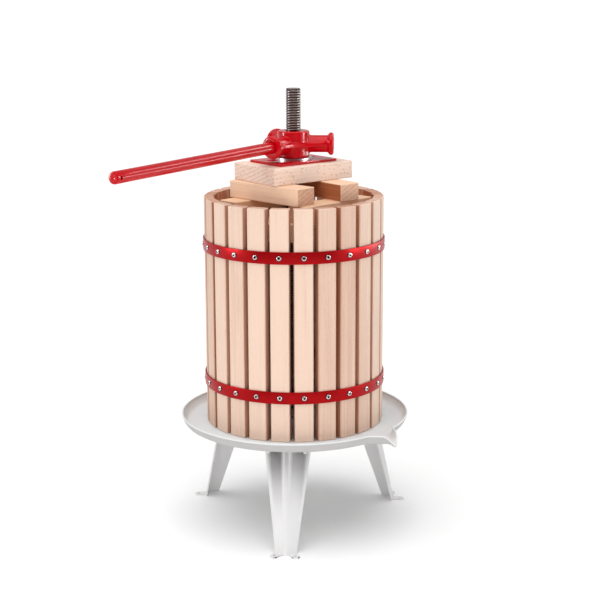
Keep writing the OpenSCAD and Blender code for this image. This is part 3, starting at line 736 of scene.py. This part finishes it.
def hub():
    """The casting: its bores are filled, its outside is softened, and the bores are cut again"""
    obj = link(bpy.data.objects.new("hub_casting", nodes["hub"].data.copy()))
    plug_r, plug_from, plug_to = 9.5 * MM, 10 * MM, 62.2 * MM
    for k in range(3):
        boolean(obj, turned(rod(plug_r, plug_from, plug_to), socket_matrix(k)), "UNION")
    boolean(obj, rod(13.5 * MM, HUB_LOW + 0.4 * MM, HUB_HIGH - 0.4 * MM), "UNION")
    modify(obj, "REMESH", mode="VOXEL", voxel_size=1.0 * MM, use_smooth_shade=True)
    modify(obj, "SMOOTH", factor=0.5, iterations=5)
    foot, mouth, face, flare = 25 * MM, 63.1 * MM, 64.5 * MM, 1.4 * MM
    wide, past = SOCKET_BORE_R + flare, 70 * MM
    for k in range(3):
        bore = lathe("bore", [(0, foot), (SOCKET_BORE_R, foot), (SOCKET_BORE_R, mouth), (wide, face),
                              (wide, past), (0, past)], 48)
        boolean(obj, turned(bore, socket_matrix(k)))
    wide, past = HUB_BORE_R + 6 * MM, 5 * MM
    bore = lathe("bore", [(0, HUB_LOW - past), (wide, HUB_LOW - past), (HUB_BORE_R, HUB_LOW + MM),
                          (HUB_BORE_R, HUB_HIGH - MM), (wide, HUB_HIGH + past), (0, HUB_HIGH + past)], 64)
    boolean(obj, bore)
    obj.data.shade_smooth()
    obj.data.set_sharp_from_angle(angle=math.radians(42))
    return obj


def bar():
    """Round bar with broken ends, a turned mark in its tip and a cross hole"""
    a, b, r, e = BAR_FROM, BAR_TO, BAR_R, 1.6 * MM
    profile = [(0, a), (r - e, a), (r - 0.3 * e, a + 0.3 * e), (r, a + e)]
    profile += [(r, a + (b - a) * i / 12) for i in range(1, 12)]
    profile += [(r, b - e), (r - 0.3 * e, b - 0.3 * e), (r - e, b), (0.7 * MM, b), (0, b - 0.4 * MM)]
    obj = lathe("bar_rod", profile, 64)
    hole = turned(rod(BAR_HOLE_R, -20 * MM, 20 * MM, 32),
                  Matrix.Translation((0, 0, b - BAR_HOLE_IN)) @ Matrix.Rotation(math.pi / 2, 4, "X"))
    boolean(obj, hole)
    turned(obj, socket_matrix(0))
    obj.data.shade_smooth()
    obj.data.set_sharp_from_angle(angle=math.radians(40))
    return obj


finish_piece(hub(), mat_cast, "hub", "red_casting", "hub")
finish_piece(bar(), mat_bar, "handle", "red_bar", "bar")
plate = dressed("pressure_plate_sheet", "pressure_plate", bevel=0.5 * MM, segments=3)
finish_piece(plate, mat_plate, "press_stack", "red_paint", "pressure_plate")


# Floor, light and camera

def floor():
    """A pale floor, so wide that it fills the picture"""
    g = Graph("floor")
    tint = g.mix(g.noise(g.place(), 3.0), linear(250, 250, 250), linear(248, 248, 248))
    g.set(color=tint, rough=0.8, level=0.1)
    obj = lathe("floor_disc", [(0, 0), (3.0, 0), (80.0, 0)], 96)
    turned(obj, Matrix.Translation((0, 0, -0.2 * MM)))
    obj.data.materials.append(g.mat)


def dark_card(width, height, y):
    """A dark card before the press that shows in its gloss and nowhere else, as a studio uses"""
    corners = [(x * width / 2, y, z) for x, z in ((-1, 0.001), (1, 0.001), (1, height), (-1, height))]
    obj = mesh_object("dark_card", corners, [(0, 1, 2, 3)])
    g = Graph("dark_card")
    g.set(color=g.mix(g.noise(g.place(), 20.0), linear(60, 60, 60), linear(50, 50, 50)), rough=0.9, level=0.1)
    obj.data.materials.append(g.mat)
    obj.visible_camera = False
    obj.visible_diffuse = False
    obj.visible_shadow = False


def strip(name, place, target, size, power, gloss_only=True):
    """A strip light. With gloss_only it makes highlights and nothing else."""
    light = bpy.data.lights.new(name, "AREA")
    light.shape = "RECTANGLE"
    light.size, light.size_y = size
    light.energy = power
    obj = link(bpy.data.objects.new(name, light))
    obj.location = place
    obj.rotation_euler = (Vector(target) - Vector(place)).to_track_quat("-Z", "Y").to_euler()
    obj.visible_diffuse = not gloss_only
    obj.visible_camera = False


def soft_sun(direction, energy, angle):
    """A wide overhead light without an end. angle is its width in degrees."""
    light = bpy.data.lights.new("soft_sun", "SUN")
    light.energy, light.angle = energy, math.radians(angle)
    obj = link(bpy.data.objects.new("soft_sun", light))
    obj.rotation_euler = Vector(direction).to_track_quat("-Z", "Y").to_euler()


def studio(strength):
    """Even white light from all round"""
    world = bpy.data.worlds.new("studio")
    bpy.context.scene.world = world
    world.use_nodes = True
    background = world.node_tree.nodes["Background"].inputs
    background["Color"].default_value = (1, 1, 1, 1)
    background["Strength"].default_value = strength


def photo_camera(place, yaw, pitch, roll, focal):
    """Camera at place that looks along +Y, turned by yaw, down by pitch and rolled, in degrees"""
    yaw, pitch, roll = (math.radians(v) for v in (yaw, pitch, roll))
    right = Vector((math.cos(yaw), -math.sin(yaw), 0))
    ahead = Vector((math.sin(yaw) * math.cos(pitch), math.cos(yaw) * math.cos(pitch), -math.sin(pitch)))
    up = right.cross(ahead)
    right, up = math.cos(roll) * right + math.sin(roll) * up, math.cos(roll) * up - math.sin(roll) * right
    lens = bpy.data.cameras.new("camera")
    lens.lens, lens.sensor_width, lens.sensor_fit = focal, 36.0, "HORIZONTAL"
    lens.clip_start, lens.clip_end = 0.05, 200.0
    camera = link(bpy.data.objects.new("camera", lens))
    turn = Matrix((right, up, -ahead)).transposed().to_4x4()
    camera.matrix_world = Matrix.Translation(place) @ turn
    bpy.context.scene.camera = camera


BAR_MIDDLE = (-0.1, -0.18, 0.62)

floor()
studio(strength=0.57)
dark_card(width=3.4, height=1.8, y=-1.35)
soft_sun(direction=(0.12, 0.20, -1.0), energy=1.95, angle=65)
# each strip's name, place, target, width and height in metres, and power in watts
strip("low_fill", (0, -1.6, 0.16), (0, 0, 0.12), (1.8, 0.3), 4.2, gloss_only=False)
for side in (-1, 1):
    strip("side_strip", (side * 1.7, -0.35, 0.85), (0, 0, 0.45), (0.14, 1.0), 20)
strip("bar_strip_high", (1.44, 0.69, 1.51), BAR_MIDDLE, (1.4, 0.28), 8)
strip("bar_strip_low", (1.72, 0.60, 0.38), BAR_MIDDLE, (1.2, 0.14), 6)
photo_camera(place=(0.0, -2.4335, 0.9198), yaw=0.222, pitch=12.853, roll=-0.222, focal=92.712)
bpy.context.scene.view_settings.view_transform = "Standard"
